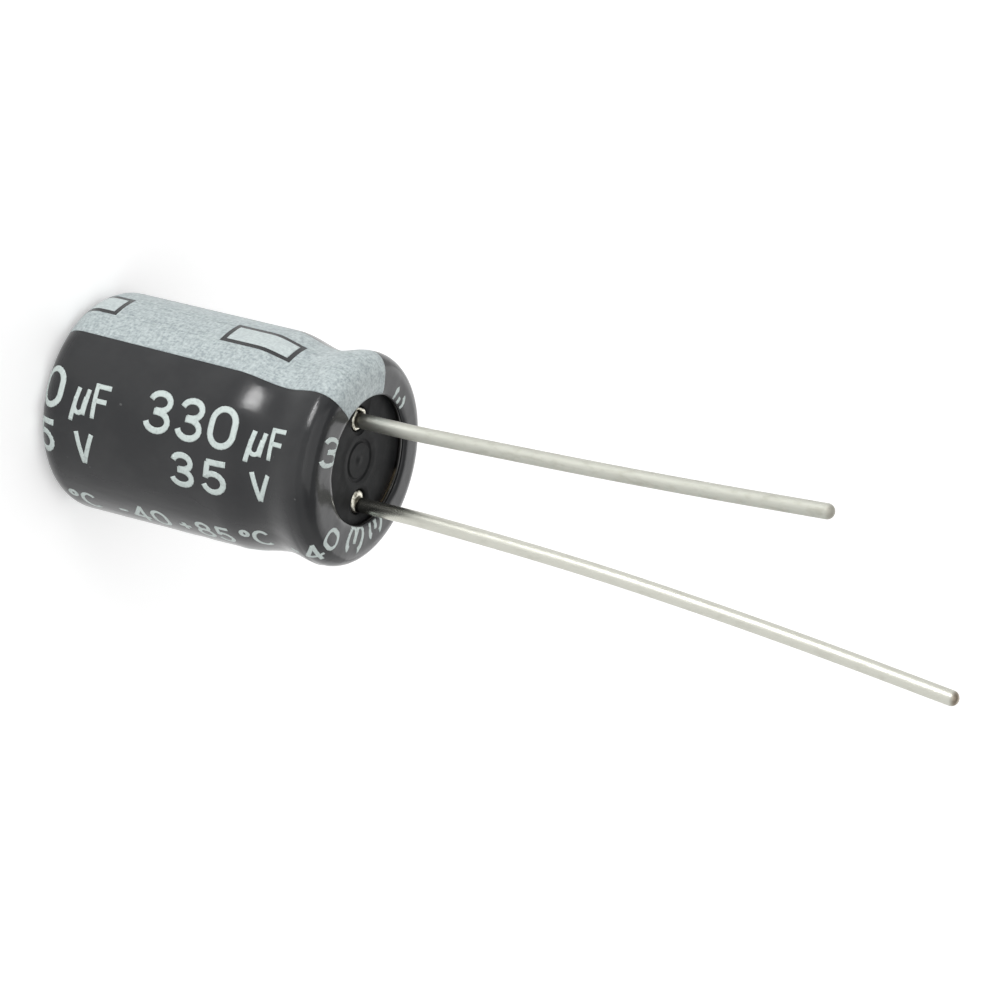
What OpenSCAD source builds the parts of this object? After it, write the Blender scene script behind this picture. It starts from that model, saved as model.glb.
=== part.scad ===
// Radial aluminium electrolytic capacitor, standing on its vent end with its leads up.
// Millimetres. The origin is the centre of the resting face, and +Z runs along the body towards the leads.
// The leads lie in the XZ plane: the long anode lead on +X, the short cathode lead on -X.

/* [Can] */
// Outer diameter of the bare aluminium can
can_d = 8; // [6.3:0.1:10]
// Height of the sleeved body, from the resting face to the lip plane
body_h = 12; // [11:0.25:16]
// Wall of the can
can_wall = 0.25; // [0.2:0.01:0.35]
// Thickness of the can's closed end
can_end_t = 0.3; // [0.25:0.01:0.45]
// Outer radius of the corner round the closed end
can_corner_r = 0.95; // [0.5:0.05:1.3]

/* [Bead and rim] */
// Distance from the lip plane at which the body starts to narrow
shoulder_drop = 4.3; // [3.6:0.1:5]
// Distance from the lip plane to the bottom of the rolled groove
groove_drop = 2.1; // [1.7:0.05:2.6]
// Distance from the lip plane to the rim's full width
rim_drop = 0.75; // [0.65:0.05:1.1]
// Depth of the rolled groove in the can
groove_depth = 0.55; // [0.3:0.01:0.7]
// How far the rim stands inside the body's radius
rim_inset = 0.12; // [0:0.01:0.25]
// Outer radius of the rim's curl
curl_r = 0.4; // [0.3:0.01:0.55]
// Distance from the tabs' posts to the edge of the curled rim
curl_clear = 0.195; // [0.1:0.005:0.4]

/* [Pressure vent] */
// Distance from a score line's end to the sleeve's edge
score_margin = 0.45; // [0.2:0.05:1]
// Depth of the score lines
score_depth = 0.14; // [0.05:0.01:0.2]
// Number of score lines
score_count = 2; // [1:1:4]

/* [Sleeve] */
// Wall of the shrink sleeve
sleeve_t = 0.09; // [0.06:0.01:0.15]
// How far the sleeve bridges the rolled groove
sleeve_bridge = 0.19; // [0.05:0.01:0.25]
// How far the sleeve's edge at the lead end lies back from the curled rim's edge
seal_mouth_back = 0.06; // [0:0.01:0.5]
// How far the sleeve reaches in over the vent end, from the can's outside
vent_cover = 1.25; // [1.2:0.01:1.6]

/* [Polarity stripe] */
// Direction of the stripe's middle line, turned from the anode lead's side
stripe_turn = 186.5; // [170:0.5:190]
// Width of the stripe as an angle round the body
stripe_angle = 54; // [30:1:70]
// Thickness of the printed ink
ink_t = 0.02; // [0.01:0.005:0.04]
// Length of one open rectangle along the body
mark_l = 3; // [2:0.1:3.5]
// Width of one open rectangle round the body
mark_w = 1.34; // [0.8:0.02:2]
// Line width of the open rectangles
mark_line = 0.2; // [0.1:0.01:0.3]
// Distance from one rectangle to the next
mark_pitch = 7.5; // [5:0.1:9]
// Distance from the lip plane to the top of the first rectangle
mark_drop = 2.55; // [1.5:0.05:4]

/* [End seal] */
// Thickness of the rubber seal
seal_h = 2.7; // [2.2:0.05:3.2]
// Radius of the moulded ring on the seal's face
seal_ring_r = 0.62; // [0.4:0.02:0.8]
// Width of the moulded ring
seal_ring_w = 0.1; // [0.05:0.01:0.2]
// Depth of the moulded ring
seal_ring_depth = 0.05; // [0.02:0.01:0.1]
// Width of the funnel round each hole's mouth
funnel_w = 0.12; // [0.05:0.01:0.2]

/* [Leads] */
// Distance between the leads where they leave the seal
lead_pitch = 3.25; // [2.9:0.05:3.5]
// Diameter of the lead wire
lead_d = 0.6; // [0.45:0.05:0.7]
// Straight length of each lead beyond the lip plane
lead_stub = 1.6; // [1.2:0.1:3]
// Straight length at each lead's free end
lead_end_l = 3; // [1:0.1:5]
// Length of the anode lead beyond the lip plane
anode_lead_l = 24; // [10:0.1:30]
// Length of the cathode lead beyond the lip plane
cathode_lead_l = 18.9; // [8:0.1:26]
// Radius of the short bend that follows the straight length
bend_r = 25; // [10:1:60]
// Lean of the anode lead after the short bend, in degrees
anode_lean = 2; // [0:0.1:4]
// Lean of the cathode lead after the short bend, in degrees
cathode_lean = 1.4; // [0:0.1:4]
// Radius of the anode lead's long sweep
anode_sweep_r = 225; // [150:5:400]
// Radius of the cathode lead's long sweep
cathode_sweep_r = 340; // [250:5:900]
// Rounding of the cut tips
tip_r = 0.2; // [0.04:0.01:0.25]

/* [Tabs] */
// Diameter of a tab's round post in the seal
post_d = 1.2; // [0.9:0.05:1.4]
// How far the post's end lies below the seal's face
post_sink = 0.12; // [0.05:0.01:0.3]
// Diameter of the weld collar round the lead
collar_d = 0.94; // [0.8:0.02:1.1]
// Height of the weld collar over the post's end
collar_h = 0.3; // [0.15:0.01:0.4]
// Length of the post below the seal
post_drop = 0.15; // [0.1:0.01:0.2]
// Length of the shoulder between the post and the blade
tab_shoulder = 0.4; // [0.3:0.01:0.5]
// Width of the flat blade round the winding
blade_w = 1.9; // [1.2:0.1:2.2]
// Thickness of the flat blade
blade_t = 0.2; // [0.15:0.01:0.25]
// Distance from the winding's lower edge to the blade's end
blade_lift = 0.9; // [0.3:0.1:2]
// Turn of the winding that holds the anode tab
anode_tab_turn = 2; // [1:1:4]
// Turn of the winding that holds the cathode tab
cathode_tab_turn = 1.5; // [1.5:1:4.5]

/* [Winding] */
// Radius of the hole left by the winding spindle
core_r = 0.8; // [0.5:0.05:1]
// Gap between the winding and the can's wall
winding_side_gap = 0.3; // [0.15:0.05:0.6]
// Gap between the winding and the can's closed end
winding_lift = 0.3; // [0.1:0.05:0.5]
// Gap between the winding and the tabs' shoulders
winding_head_gap = 0.49; // [0.2:0.01:0.8]
// How far the papers reach past the foils at each edge
foil_margin = 0.4; // [0.2:0.05:0.8]
// How far the papers reach past the fixing tape at each edge
tape_margin = 0.8; // [0.3:0.05:2]
// Turn of the papers on which the foils start, in degrees
foil_lead_in = 180; // [90:10:360]
// Turn of the papers past the end of the foils, in degrees
foil_lead_out = 360; // [350:10:540]
// Angle that the fixing tape covers, in degrees
tape_angle = 340; // [180:10:350]
// Thickness of one separator paper
paper_t = 0.04; // [0.03:0.005:0.06]
// Thickness of the anode foil
anode_t = 0.09; // [0.06:0.005:0.11]
// Thickness of the cathode foil
cathode_t = 0.04; // [0.02:0.005:0.06]
// Thickness of the fixing tape
tape_t = 0.05; // [0.03:0.005:0.06]

/* [Clearance] */
// Gap between pieces that fit one in the other
fit_gap = 0.01; // [0.005:0.005:0.02]

/* [Hidden] */

$fn = 96;
// Sides and rings of a lead's swept part, and how far it lies inside the round wire's surface and length
wire_sides = 24;
wire_rings = 18;
wire_trim = 0.002;
wire_overlap = 0.2;
// Points on a quarter circle and on each side of the groove
arc_steps = 8;
groove_steps = 10;
// Angle between two points of the winding
wind_step = 10;
// Allowance by which a cut passes the face it opens
cut_over = 0.1;
// Thickness of the slices between which a tab's shoulder is drawn
slice_t = 0.02;
// Place on the closed end's corner where the stripe ends, in degrees below the body's side
stripe_foot = -62;

can_r = can_d / 2;
sleeve_off = fit_gap + sleeve_t;
can_z = sleeve_off;
lip_z = body_h;
can_top_z = lip_z - sleeve_off;
shoulder_z = lip_z - shoulder_drop;
groove_z = lip_z - groove_drop;
rim_z = lip_z - rim_drop;
rim_r = can_r - rim_inset;

curl_mouth_r = (lead_pitch + post_d) / 2 + curl_clear;
seal_mouth_r = curl_mouth_r + seal_mouth_back;
vent_mouth_r = can_r - vent_cover;
score_l = 2 * (vent_mouth_r - score_margin);

seal_top_z = can_top_z - can_wall - fit_gap;
seal_z = seal_top_z - seal_h;
post_top_z = seal_top_z - post_sink;
post_z = seal_z - post_drop;
blade_top_z = post_z - tab_shoulder;
winding_r = can_r - can_wall - winding_side_gap;
winding_z = can_z + can_end_t + winding_lift;
paper_w = blade_top_z - winding_head_gap - winding_z;
foil_z = winding_z + foil_margin;
foil_w = paper_w - 2 * foil_margin;
tape_z = winding_z + tape_margin;
tape_w = paper_w - 2 * tape_margin;

// Places of the four strips in one turn, measured from the turn's inner side
anode_off = paper_t + fit_gap;
outer_paper_off = anode_off + anode_t + fit_gap;
cathode_off = outer_paper_off + paper_t + fit_gap;
turn_pitch = cathode_off + cathode_t + fit_gap;
tape_off = outer_paper_off + paper_t + fit_gap;
tab_room = blade_t + fit_gap;
wind_turns = (winding_r - core_r - turn_pitch - tab_room) / turn_pitch;
wind_end = wind_step * floor(360 * wind_turns / wind_step);
anode_tab_a = 360 * anode_tab_turn;
cathode_tab_a = 360 * cathode_tab_turn;
foil_end = wind_end - foil_lead_out;
tape_start = wind_end - tape_angle;
// A tab's bulge is flat over this angle to each side and fades out over the next
bulge_flat = 45;
bulge_fade = 45;

function s_curve(t) = t * t * (3 - 2 * t);

function arc(cx, cy, r, a0, a1) =
    [for (i = [0:arc_steps]) let (a = a0 + (a1 - a0) * i / arc_steps) [cx + r * cos(a), cy + r * sin(a)]];

function reversed(list) = [for (i = [len(list) - 1:-1:0]) list[i]];

// Radius of the wall at height z, for a surface that stands off from the can's outside
function wall_r(z, off, dip) =
    z <= shoulder_z ? can_r + off
    : z <= groove_z ? can_r + off - dip * s_curve((z - shoulder_z) / (groove_z - shoulder_z))
    : z <= rim_z ? can_r + off - dip + (dip - rim_inset) * s_curve((z - groove_z) / (rim_z - groove_z))
    : rim_r + off;

// Heights at which the wall is drawn, from z0 up to the rim
function wall_zs(z0) = concat(
    [for (i = [0:groove_steps]) let (z = shoulder_z + (groove_z - shoulder_z) * i / groove_steps) if (z > z0) z],
    [for (i = [1:groove_steps]) groove_z + (rim_z - groove_z) * i / groove_steps]
);

function wall_path(z0, off, dip) = [for (z = wall_zs(z0)) [wall_r(z, off, dip), z]];

function foot_arc(off, from = -90) =
    arc(can_r - can_corner_r, can_z + can_corner_r, can_corner_r + off, from, 0);

function rim_arc(off) = arc(rim_r - curl_r, can_top_z - curl_r, curl_r + off, 0, 90);

// Outline of a surface round the can, from the closed end's corner up to the curled rim
function shell_path(off, dip, from = -90) = concat(foot_arc(off, from), wall_path(0, off, dip), rim_arc(off));

// Height of the bulge that a tab makes in the turns round it
function bulge(d) =
    let (w = abs(d - 360 * round(d / 360)))
    w <= bulge_flat ? 1 : w >= bulge_flat + bulge_fade ? 0 : s_curve(1 - (w - bulge_flat) / bulge_fade);

// Extra radius at angle a for a strip at a place in the turn, from a tab that lies at tab_a over foil_off
function tab_push(a, off, tab_a, foil_off) =
    a > tab_a + (off > foil_off ? -180 : 180) ? tab_room * bulge(a - tab_a) : 0;

function wind_r(a, off) =
    core_r + turn_pitch * a / 360 + off
    + tab_push(a, off, anode_tab_a, anode_off)
    + tab_push(a, off, cathode_tab_a, cathode_off);

function wind_path(a0, a1, off, add, step = wind_step) =
    [for (i = [0:round((a1 - a0) / step)]) let (a = a0 + i * step, r = wind_r(a, off) + add) [r * cos(a), r * sin(a)]];

// A wound strip from angle a0 to a1, drawn flat
module strip_outline(a0, a1, off, t) {
    polygon(concat(wind_path(a0, a1, off, 0), reversed(wind_path(a0, a1, off, t))));
}

module wound_strip(a0, a1, off, t, z, w) {
    translate([0, 0, z]) linear_extrude(w) strip_outline(a0, a1, off, t);
}

// The blade lies on its foil's outer face, inside the room that the outer layers leave
module blade_outline(tab_a, foil_off, foil_t) {
    r = core_r + turn_pitch * tab_a / 360 + foil_off + foil_t + fit_gap;
    half = blade_w / 2 / r * 180 / PI;
    inner = [for (i = [-4:4]) let (a = tab_a + half * i / 4, q = r + turn_pitch * half * i / 4 / 360)
        [q * cos(a), q * sin(a)]];
    outer = [for (i = [-4:4]) let (a = tab_a + half * i / 4, q = r + turn_pitch * half * i / 4 / 360 + blade_t)
        [q * cos(a), q * sin(a)]];
    polygon(concat(inner, reversed(outer)));
}

// Centre line of a lead beyond its straight length, at distance s: place along X, place along Z and heading
function lead_line(s, lean, sweep_r) =
    let (bend_l = bend_r * lean * PI / 180, a = min(s, bend_l) / bend_r * 180 / PI)
    let (b = a + max(s - bend_l, 0) / sweep_r * 180 / PI)
    [
        bend_r * (1 - cos(a)) + sweep_r * (cos(a) - cos(b)),
        s < 0 ? s : bend_r * sin(a) + sweep_r * (sin(b) - sin(a)),
        b
    ];

function wire_ring(s, r, lean, sweep_r) =
    let (c = lead_line(s, lean, sweep_r))
    [for (i = [0:wire_sides - 1]) let (t = 360 * i / wire_sides)
        [c.x + r * cos(t) * cos(c.z), r * sin(t), c.y - r * cos(t) * sin(c.z)]];

// The leaning part of a lead, swept in rings; both ends reach into the straight lengths
module swept_wire(l, lean, sweep_r) {
    r = lead_d / 2 - wire_trim;
    points = [for (k = [0:wire_rings]) each
        wire_ring(-wire_overlap + (l + 2 * wire_overlap) * k / wire_rings, r, lean, sweep_r)];
    start_cap = [for (i = [0:wire_sides - 1]) i];
    end_cap = [for (i = [wire_sides - 1:-1:0]) wire_rings * wire_sides + i];
    sides = [for (k = [0:wire_rings - 1], i = [0:wire_sides - 1]) let (j = (i + 1) % wire_sides)
        [k * wire_sides + i, (k + 1) * wire_sides + i, (k + 1) * wire_sides + j, k * wire_sides + j]];
    polyhedron(points, concat([start_cap], sides, [end_cap]));
}

// The straight end of a lead, with its cut rounded over
module wire_end() {
    rotate_extrude() polygon(concat(
        [[0, 0], [lead_d / 2, 0]],
        arc(lead_d / 2 - tip_r, lead_end_l - tip_r, tip_r, 0, 90),
        [[0, lead_end_l]]
    ));
}

// A lead from the post's end: a straight length, a short bend, one long sweep and the straight end
module lead(l, lean, sweep_r) {
    sweep_l = l - lead_stub - lead_end_l;
    end = lead_line(sweep_l, lean, sweep_r);
    translate([lead_pitch / 2, 0, 0]) {
        translate([0, 0, post_top_z]) cylinder(h = lip_z + lead_stub - post_top_z, d = lead_d);
        translate([0, 0, lip_z + lead_stub]) {
            swept_wire(sweep_l, lean, sweep_r);
            translate([end.x, 0, end.y]) rotate([0, end.z, 0]) wire_end();
        }
    }
}

// A tab: flat blade, shoulder, round post and the weld collar that the lead comes out of
module tab(side, tab_a, foil_off, foil_t) {
    blade_z = winding_z + blade_lift;
    x = side * lead_pitch / 2;
    translate([0, 0, blade_z]) linear_extrude(blade_top_z - blade_z) blade_outline(tab_a, foil_off, foil_t);
    hull() {
        translate([0, 0, blade_top_z - slice_t]) linear_extrude(slice_t) blade_outline(tab_a, foil_off, foil_t);
        translate([x, 0, post_z]) cylinder(h = slice_t, d = post_d, $fn = 32);
    }
    difference() {
        union() {
            translate([x, 0, post_z]) cylinder(h = post_top_z - post_z, d = post_d);
            translate([x, 0, post_top_z]) weld_collar();
        }
        translate([x, 0, post_top_z]) cylinder(h = collar_h + cut_over, d = lead_d + 2 * fit_gap);
    }
}

module weld_collar() {
    bead_r = collar_h / 2;
    cylinder(h = bead_r, d = collar_d);
    translate([0, 0, bead_r]) cylinder(h = bead_r, d1 = collar_d, d2 = lead_d + collar_h / 3);
}

module sleeve() {
    dip = groove_depth - sleeve_bridge;
    color([0.27, 0.28, 0.29]) difference() {
        rotate_extrude() polygon(concat(
            [[vent_mouth_r, 0]],
            shell_path(sleeve_off, dip),
            [[seal_mouth_r, lip_z], [seal_mouth_r, lip_z - sleeve_t]],
            reversed(shell_path(fit_gap, dip)),
            [[vent_mouth_r, sleeve_t]]
        ));
        stripe_band(sleeve_off - ink_t - fit_gap, sleeve_off + cut_over, seal_mouth_r - cut_over);
    }
}

// The ink lies flush in the sleeve
module polarity_stripe() {
    color([0.74, 0.78, 0.78]) stripe_band(sleeve_off - ink_t, sleeve_off, seal_mouth_r);
}

// Band of the stripe between two surfaces; it ends on the closed end's corner, clear of the resting face
module stripe_band(off_in, off_out, mouth_r) {
    dip = groove_depth - sleeve_bridge;
    difference() {
        rotate([0, 0, stripe_turn - stripe_angle / 2]) rotate_extrude(angle = stripe_angle, $fn = 360) polygon(concat(
            shell_path(off_out, dip, stripe_foot),
            [[mouth_r, can_top_z + off_out], [mouth_r, can_top_z + off_in]],
            reversed(shell_path(off_in, dip, stripe_foot))
        ));
        for (drop = [mark_drop:mark_pitch:body_h - can_corner_r]) mark_frame(lip_z - drop);
    }
}

// One open rectangle, whose line is cut through the ink
module mark_frame(top) {
    low = top - mark_l;
    rotate([0, 0, stripe_turn]) translate([can_r, 0, 0]) difference() {
        translate([-can_r / 4, -mark_w / 2, low]) cube([can_r / 2, mark_w, top - low]);
        translate([-can_r / 2, -mark_w / 2 + mark_line, low + mark_line])
            cube([can_r, mark_w - 2 * mark_line, top - low - 2 * mark_line]);
    }
}

module can() {
    floor_z = can_z + can_end_t;
    inner_corner_r = can_corner_r - can_wall;
    color([0.78, 0.79, 0.8]) difference() {
        rotate_extrude() polygon(concat(
            [[0, can_z]],
            shell_path(0, groove_depth),
            [[curl_mouth_r, can_top_z], [curl_mouth_r, can_top_z - can_wall]],
            reversed(rim_arc(-can_wall)),
            reversed(wall_path(0, -can_wall, groove_depth)),
            reversed(arc(can_r - can_corner_r, floor_z + inner_corner_r, inner_corner_r, -90, 0)),
            [[0, floor_z]]
        ));
        vent_score();
    }
}

// Score lines across the closed end, V-shaped
module vent_score() {
    side = score_depth * sqrt(2);
    for (i = [0:score_count - 1]) rotate([0, 0, 180 * i / score_count + 45])
        translate([0, 0, can_z]) rotate([45, 0, 0]) cube([score_l, side, side], center = true);
}

module end_seal() {
    off = -can_wall - fit_gap;
    color([0.16, 0.16, 0.17]) difference() {
        rotate_extrude() polygon(concat(
            [[0, seal_z], [wall_r(seal_z, off, groove_depth), seal_z]],
            wall_path(seal_z, off, groove_depth),
            rim_arc(off),
            [[0, seal_top_z]]
        ));
        for (side = [-1, 1]) translate([side * lead_pitch / 2, 0, 0]) seal_hole();
        seal_ring();
    }
}

module seal_hole() {
    hole_d = post_d + 2 * fit_gap;
    translate([0, 0, seal_z - cut_over]) cylinder(h = seal_h + 2 * cut_over, d = hole_d);
    translate([0, 0, seal_top_z - funnel_w]) cylinder(h = 2 * funnel_w, d1 = hole_d, d2 = hole_d + 4 * funnel_w);
}

module seal_ring() {
    translate([0, 0, seal_top_z - seal_ring_depth]) difference() {
        cylinder(h = seal_ring_depth + cut_over, r = seal_ring_r + seal_ring_w / 2);
        translate([0, 0, -cut_over])
            cylinder(h = seal_ring_depth + 3 * cut_over, r = seal_ring_r - seal_ring_w / 2);
    }
}

module anode_tab() {
    color([0.8, 0.8, 0.78]) tab(1, anode_tab_a, anode_off, anode_t);
}

module cathode_tab() {
    color([0.8, 0.8, 0.78]) tab(-1, cathode_tab_a, cathode_off, cathode_t);
}

module anode_lead() {
    color([0.83, 0.83, 0.81]) lead(anode_lead_l, anode_lean, anode_sweep_r);
}

module cathode_lead() {
    color([0.83, 0.83, 0.81]) mirror([1, 0, 0]) lead(cathode_lead_l, cathode_lean, cathode_sweep_r);
}

module anode_foil() {
    color([0.62, 0.62, 0.6]) wound_strip(foil_lead_in, foil_end, anode_off, anode_t, foil_z, foil_w);
}

module cathode_foil() {
    color([0.75, 0.76, 0.77]) wound_strip(foil_lead_in, foil_end, cathode_off, cathode_t, foil_z, foil_w);
}

module inner_paper() {
    color([0.86, 0.82, 0.7]) wound_strip(0, wind_end, 0, paper_t, winding_z, paper_w);
}

module outer_paper() {
    color([0.84, 0.79, 0.66]) wound_strip(0, wind_end, outer_paper_off, paper_t, winding_z, paper_w);
}

module fixing_tape() {
    color([0.78, 0.62, 0.3]) wound_strip(tape_start, wind_end, tape_off, tape_t, tape_z, tape_w);
}

sleeve();
polarity_stripe();
can();
end_seal();
anode_tab();
cathode_tab();
anode_lead();
cathode_lead();
anode_foil();
cathode_foil();
inner_paper();
outer_paper();
fixing_tape();
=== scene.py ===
from math import atan2, cos, degrees, hypot, pi, radians, sin

import bmesh
import bpy
from mathutils import Matrix, Quaternion, Vector


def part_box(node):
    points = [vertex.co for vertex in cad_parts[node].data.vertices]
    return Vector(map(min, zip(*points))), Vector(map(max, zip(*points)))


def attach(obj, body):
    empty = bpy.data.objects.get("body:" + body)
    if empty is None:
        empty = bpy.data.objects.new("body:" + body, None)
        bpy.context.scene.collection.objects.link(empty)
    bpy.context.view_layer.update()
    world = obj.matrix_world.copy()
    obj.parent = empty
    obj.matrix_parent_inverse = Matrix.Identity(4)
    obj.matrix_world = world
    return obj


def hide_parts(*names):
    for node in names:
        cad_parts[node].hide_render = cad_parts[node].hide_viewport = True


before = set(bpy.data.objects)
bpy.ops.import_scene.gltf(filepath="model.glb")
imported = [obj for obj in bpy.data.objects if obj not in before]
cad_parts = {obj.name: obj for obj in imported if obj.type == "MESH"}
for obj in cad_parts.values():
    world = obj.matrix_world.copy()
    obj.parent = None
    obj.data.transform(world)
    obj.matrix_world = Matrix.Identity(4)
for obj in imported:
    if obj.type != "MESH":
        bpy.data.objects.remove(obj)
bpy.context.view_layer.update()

mm = 0.001
scene = bpy.context.scene
print("frame loaded:", len(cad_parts), "nodes")

# Camera, in the photo's place. The part stands on its end and the photo shows it lying,
# so the camera is rolled. Places are in mm, the roll in degrees.
cameraLook = {
    "place": (-69.48, -140.38, 100.74),
    "aim": (1.195, 2.057, 16.364),
    "roll": 103.93,
    "lens": 179.05,
    "sensor": 36,
}


def addCamera(look):
    data = bpy.data.cameras.new("photoCamera")
    data.lens = look["lens"]
    data.sensor_width = look["sensor"]
    data.clip_start = 0.005
    data.clip_end = 20
    camera = bpy.data.objects.new("photoCamera", data)
    scene.collection.objects.link(camera)
    camera.location = Vector(look["place"]) * mm
    level = (Vector(look["aim"]) - Vector(look["place"])).to_track_quat("-Z", "Y")
    camera.rotation_mode = "QUATERNION"
    camera.rotation_quaternion = level @ Quaternion((0, 0, 1), radians(look["roll"]))
    scene.camera = camera


addCamera(cameraLook)
print("camera placed")


# Shader maths: a Wire is a node's output that can stand in a sum.
class Wire:
    def __init__(self, tree, socket=None):
        self.tree = tree
        self.socket = socket

    def node(self, kind, settings=None, sockets=None, output=0):
        made = self.tree.nodes.new(kind)
        for name, value in (settings or {}).items():
            setattr(made, name, value)
        for name, value in (sockets or {}).items():
            if isinstance(value, Wire):
                self.tree.links.new(value.socket, made.inputs[name])
            else:
                made.inputs[name].default_value = value
        return Wire(self.tree, made.outputs[output])

    def sum(self, operation, *values):
        return self.node("ShaderNodeMath", {"operation": operation}, dict(enumerate(values)))

    def __add__(self, other):
        return self.sum("ADD", self, other)

    __radd__ = __add__

    def __sub__(self, other):
        return self.sum("SUBTRACT", self, other)

    def __rsub__(self, other):
        return self.sum("SUBTRACT", other, self)

    def __mul__(self, other):
        return self.sum("MULTIPLY", self, other)

    __rmul__ = __mul__

    def __truediv__(self, other):
        return self.sum("DIVIDE", self, other)

    def place(self):  # where the surface is, in the object's own frame
        return self.node("ShaderNodeTexCoord", output=3)

    def parts(self):  # x, y and z of a vector
        split = self.node("ShaderNodeSeparateXYZ", None, {0: self}).socket.node
        return [Wire(self.tree, socket) for socket in split.outputs]

    def clamped(self, low, high):  # 0 at low and 1 at high
        return self.node(
            "ShaderNodeMapRange",
            {"clamp": True, "interpolation_type": "SMOOTHSTEP"},
            {"Value": self, "From Min": low, "From Max": high},
        )

    def noise(self, size, stretch=(1, 1, 1), detail=3, rough=0.5, offset=0):
        scaled = self.node(
            "ShaderNodeMapping",
            {"vector_type": "POINT"},
            {"Vector": self.place(), "Location": (offset * mm, offset * mm, 0), "Scale": stretch},
        )
        return self.node(
            "ShaderNodeTexNoise",
            {"noise_dimensions": "3D"},
            {"Vector": scaled, "Scale": 1 / (size * mm), "Detail": detail, "Roughness": rough},
        )

    def blend(self, low, high):  # from the colour low to the colour high as this goes from 0 to 1
        return self.node(
            "ShaderNodeMix",
            {"data_type": "RGBA"},
            {0: self, 6: asColour(low), 7: asColour(high)},
            output=2,
        )

    def bump(self, depth):  # depth in mm
        return self.node("ShaderNodeBump", None, {"Height": self, "Distance": depth * mm})


def asColour(tone):
    return tone if isinstance(tone, Wire) else (*tone, 1)


def newMaterial(name):
    material = bpy.data.materials.new(name)
    material.use_nodes = True
    return material, Wire(material.node_tree)


def setShader(material, values):
    shader = material.node_tree.nodes["Principled BSDF"]
    for name, value in values.items():
        if isinstance(value, Wire):
            material.node_tree.links.new(value.socket, shader.inputs[name])
        elif name == "Base Color":
            shader.inputs[name].default_value = (*value, 1)
        else:
            shader.inputs[name].default_value = value
    return material


# Materials, one function each
filmLook = {
    "tone": (0.0165, 0.0172, 0.0188),
    "worn": (0.0245, 0.0252, 0.0264),
    "dust": (0.09, 0.093, 0.093),
    "rough": 0.1,
    "ior": 1.42,
}


def shrinkFilm():
    material, wire = newMaterial("shrinkFilm")
    clouds = wire.noise(1.9, detail=3)
    grain = wire.noise(0.09, detail=2)
    specks = wire.noise(0.3, detail=1, offset=3).clamped(0.79, 0.83)
    tone = clouds.clamped(0.35, 0.7).blend(filmLook["tone"], filmLook["worn"])
    waves = wire.noise(0.8, stretch=(1, 1, 0.3), detail=2)
    return setShader(
        material,
        {
            "Base Color": (specks * 0.7).blend(tone, filmLook["dust"]),
            "Roughness": filmLook["rough"] + 0.08 * clouds + 0.07 * grain,
            "IOR": filmLook["ior"],
            "Normal": (waves * 1.6 + grain * 0.1).bump(0.012),
        },
    )


inkLook = {
    "letter": (0.52, 0.585, 0.565),
    "letterThin": (0.43, 0.485, 0.47),
    "stripe": (0.4, 0.451, 0.456),
    "stripeDark": (0.285, 0.325, 0.337),
    "stripeLight": (0.525, 0.578, 0.573),
    "ior": 1.35,
}


def letterInk():
    material, wire = newMaterial("letterInk")
    mottle = wire.noise(0.12, detail=3)
    return setShader(
        material,
        {
            "Base Color": mottle.clamped(0.3, 0.5).blend(inkLook["letterThin"], inkLook["letter"]),
            "Roughness": 0.4 + 0.12 * mottle,
            "IOR": inkLook["ior"],
        },
    )


def stripeInk():
    material, wire = newMaterial("stripeInk")
    fine = wire.noise(0.11, stretch=(1.4, 1.4, 0.6), detail=3, rough=0.6)
    cross = wire.noise(0.12, stretch=(0.6, 0.6, 1.5), detail=2, offset=4)
    broad = wire.noise(0.8, detail=3)
    inBox = wire.node("ShaderNodeAttribute", {"attribute_name": "inBox"}, output=2)
    weave = fine * 0.6 + cross * 0.4
    dark = weave.clamped(0.38, 0.54).blend(inkLook["stripeDark"], inkLook["stripe"])
    light = weave.clamped(0.5, 0.66) * 0.75 + broad.clamped(0.5, 0.75) * 0.2 + inBox * 0.55
    return setShader(
        material,
        {
            "Base Color": light.blend(dark, inkLook["stripeLight"]),
            "Roughness": 0.38 + 0.2 * fine,
            "IOR": inkLook["ior"],
            "Normal": (fine + broad).bump(0.006),
        },
    )


metalLook = {
    "can": (0.8, 0.8, 0.81),
    "canDull": (0.66, 0.66, 0.67),
    # the next two tones are painted light: a near-black painted shade for the can's edge in the mouth, and
    # a painted gold glint on it
    "canEdgePaintedShade": (0.055, 0.053, 0.05),
    "canPaintedGlint": (0.75, 0.62, 0.42),
    "brightTin": (0.59, 0.59, 0.53),
    "mattTin": (0.55, 0.555, 0.505),
    "leadDull": (0.45, 0.445, 0.39),
    # painted shade for the lead's base just above the seal
    "leadBasePaintedShade": (0.12, 0.112, 0.1),
    "leadCut": (0.27, 0.225, 0.17),
    "tab": (0.78, 0.76, 0.66),
    "tabDark": (0.3, 0.28, 0.22),
}


# Where painted shade darkens the can's edge in the mouth, and where a painted gold glint lies on it; turns
# are in radians
paintedMouthLightLook = {
    "edgeZ": (11.35, 11.5),
    "edgeR": (2.75, 2.6),
    "glintFrom": (0.5, 0.62),
    "glintTo": (1.12, 1.0),
    "glintTop": (11.79, 11.76),
}


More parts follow.
